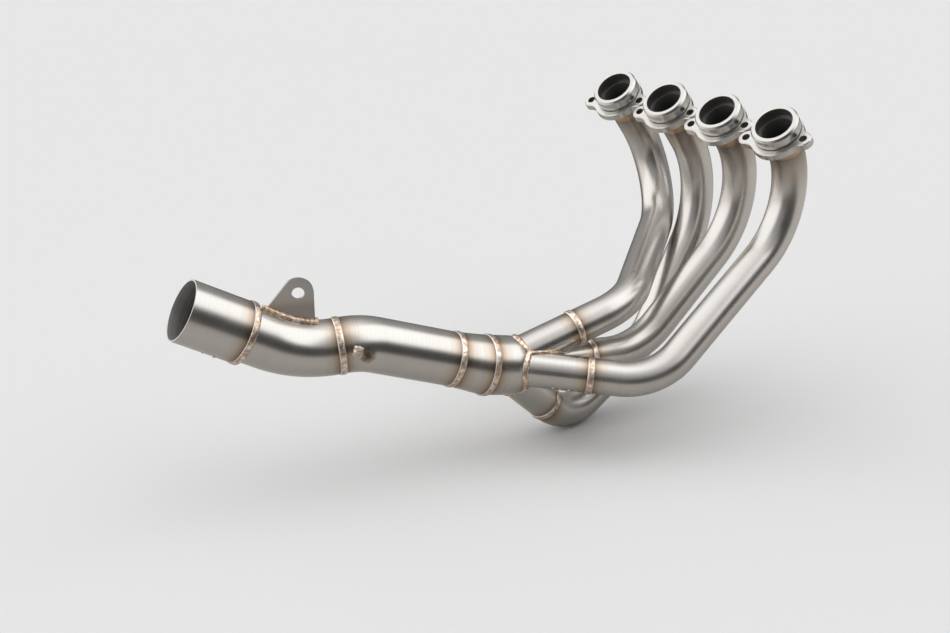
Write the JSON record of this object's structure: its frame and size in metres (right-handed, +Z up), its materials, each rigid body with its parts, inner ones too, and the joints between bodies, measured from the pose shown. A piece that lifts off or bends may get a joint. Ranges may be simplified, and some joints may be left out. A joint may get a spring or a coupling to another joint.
{
  "type": "motorcycle exhaust header",
  "caption": "Stainless exhaust header: a bolted flange and bent tube for each port, welded into a coped collector, with a mid pipe, a hanger tab and a sleeved outlet.",
  "frame": {"origin": "middle of the gasket face of port 4, the port furthest to the rider's right", "axes": "+X forward on the bike, +Y to the rider's left, +Z up. Every port faces up and back, 39 degrees from the vertical. The outlet is at the rear."},
  "size_m": [0.6733, 0.3203, 0.3553],
  "materials": {
    "flange_steel": "machined stainless",
    "tube_steel": "brushed stainless tube with straw and blue heat tint by the welds",
    "collector_steel": "brushed stainless with heat tint by the seams",
    "bracket_steel": "plain stainless plate",
    "weld_bead": "rippled weld bead, straw, bronze and blue"
  },
  "bodies": {
    "root": {"head_flange_1": "flange_steel", "flange_weld_1": "weld_bead", "primary_tube_1": "tube_steel", "primary_weld_1": "weld_bead", "collector_branch_1": "collector_steel", "head_flange_2": "flange_steel", "flange_weld_2": "weld_bead", "primary_tube_2": "tube_steel", "primary_weld_2": "weld_bead", "collector_branch_2": "collector_steel", "head_flange_3": "flange_steel", "flange_weld_3": "weld_bead", "primary_tube_3": "tube_steel", "primary_weld_3": "weld_bead", "collector_branch_3": "collector_steel", "head_flange_4": "flange_steel", "flange_weld_4": "weld_bead", "primary_tube_4": "tube_steel", "primary_weld_4": "weld_bead", "collector_branch_4": "collector_steel", "collector_seam_weld": "weld_bead", "collector_body": "collector_steel", "body_weld": "weld_bead", "collector_cone": "collector_steel", "cone_weld": "weld_bead", "mid_pipe_front": "tube_steel", "mid_pipe_weld": "weld_bead", "mid_pipe_rear": "tube_steel", "outlet_weld": "weld_bead", "outlet_sleeve": "tube_steel", "hanger_bracket": "bracket_steel", "hanger_weld": "weld_bead", "stub_lug": "bracket_steel"}
  },
  "joints": []
}
